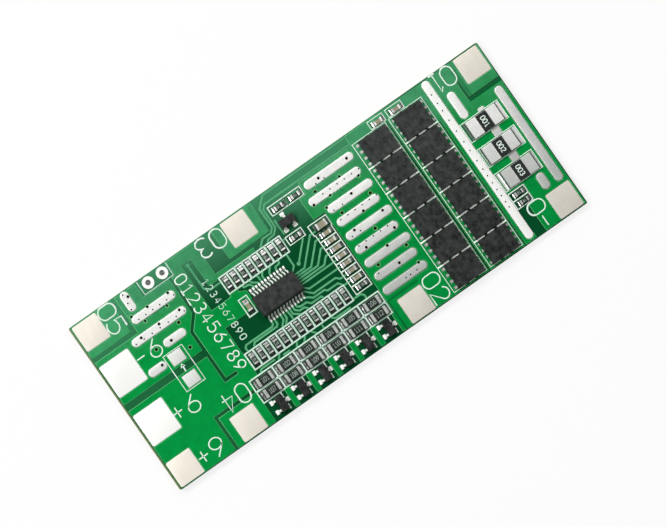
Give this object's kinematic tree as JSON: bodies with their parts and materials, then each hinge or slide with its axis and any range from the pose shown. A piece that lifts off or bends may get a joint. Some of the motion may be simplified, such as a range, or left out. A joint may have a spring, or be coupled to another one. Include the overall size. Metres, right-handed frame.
{
  "type": "battery management board",
  "caption": "Flat green circuit board for a lithium battery pack, with tinned solder terminals, solder bars, power transistors, a controller and current shunts.",
  "frame": {"origin": "middle of the board's back face, on which it lies", "axes": "+X along the board's length towards the shunts and the first cell's terminal, +Y across the board towards the edge with the sensor holes, +Z out of the component side"},
  "size_m": [0.088, 0.034, 0.0028],
  "materials": {
    "laminate": "gloss",
    "coated_copper": "gloss",
    "tin": "satin",
    "solder": "gloss",
    "lead_metal": "satin",
    "moulding": "matte",
    "resistor_glaze": "gloss",
    "capacitor_ceramic": "satin"
  },
  "bodies": {
    "root": {"board": "laminate", "copper_areas": "coated_copper", "signal_tracks": "coated_copper", "terminal_b5": "tin", "terminal_b4": "tin", "terminal_b3": "tin", "terminal_b2": "tin", "terminal_b1": "tin", "terminal_b_plus": "tin", "terminal_b_minus": "tin", "terminal_p_plus": "tin", "terminal_p_minus": "tin", "sensor_eyelets": "tin", "bare_pads": "tin", "left_solder_bars": "solder", "right_solder_bars": "solder", "long_solder_bar": "solder", "short_solder_bar": "solder", "edge_solder_bar": "solder", "stub_solder_bar": "solder", "power_transistor_1": "moulding", "power_transistor_2": "moulding", "power_transistor_3": "moulding", "power_transistor_4": "moulding", "power_transistor_5": "moulding", "power_transistor_6": "moulding", "power_transistor_7": "moulding", "power_transistor_8": "moulding", "power_transistor_9": "moulding", "power_transistor_10": "moulding", "power_transistor_11": "moulding", "power_transistor_12": "moulding", "power_frames_left": "lead_metal", "power_frames_right": "lead_metal", "power_solder": "solder", "controller": "moulding", "controller_leads": "lead_metal", "shunt_1": "resistor_glaze", "shunt_2": "resistor_glaze", "shunt_3": "resistor_glaze", "shunt_ends": "tin", "balance_transistor_1": "moulding", "balance_transistor_2": "moulding", "balance_transistor_3": "moulding", "balance_transistor_4": "moulding", "balance_transistor_5": "moulding", "balance_transistor_6": "moulding", "driver_transistor": "moulding", "transistor_leads": "lead_metal", "lead_solder": "solder", "balance_resistors": "resistor_glaze", "balance_resistor_ends": "tin", "upper_row_resistors": "resistor_glaze", "lower_row_resistors": "resistor_glaze", "other_resistors": "resistor_glaze", "resistor_ends": "tin", "filter_capacitors": "capacitor_ceramic", "other_capacitors": "capacitor_ceramic", "capacitor_ends": "tin", "chip_solder": "solder"}
  },
  "joints": []
}
